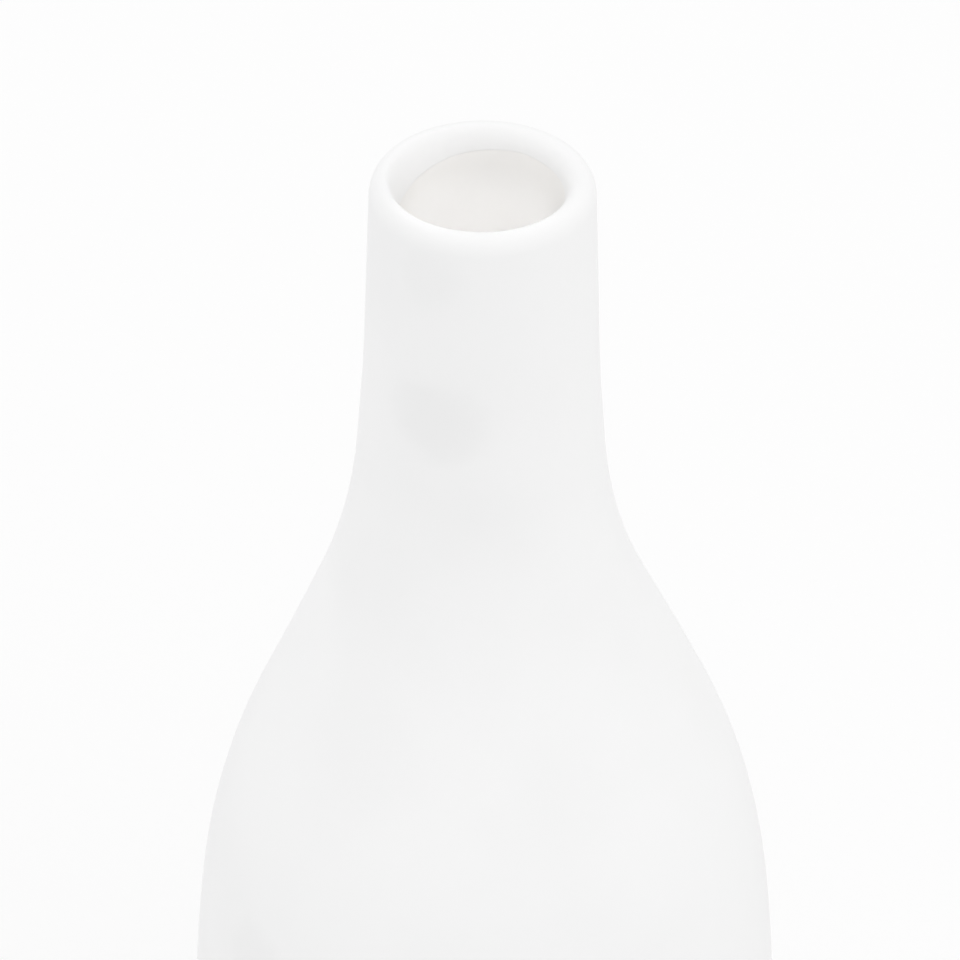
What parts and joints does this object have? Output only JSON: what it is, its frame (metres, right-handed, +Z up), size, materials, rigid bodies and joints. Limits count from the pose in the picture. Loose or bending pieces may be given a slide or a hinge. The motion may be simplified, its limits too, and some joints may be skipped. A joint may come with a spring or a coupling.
{
  "type": "bottle vase",
  "caption": "Tall ceramic bottle vase with a long narrow neck, a rounded lip and a full body, matt white outside with a glazed inside, on felt pads.",
  "frame": {"origin": "centre of the base, on the plane that the felt pads rest on", "axes": "+Z up along the vase's axis, out of the mouth; X and Y are alike, with the pads midway between them"},
  "size_m": [0.1116, 0.1116, 0.3],
  "materials": {
    "fired_clay": "unglazed, fired",
    "matt_white_glaze": "matt, smooth",
    "clear_liner_glaze": "satin",
    "wool_felt": "pressed felt"
  },
  "bodies": {
    "root": {"vase_body": "fired_clay", "outer_glaze": "matt_white_glaze", "liner_glaze": "clear_liner_glaze", "felt_pad_1": "wool_felt", "felt_pad_2": "wool_felt", "felt_pad_3": "wool_felt", "felt_pad_4": "wool_felt"}
  },
  "joints": []
}
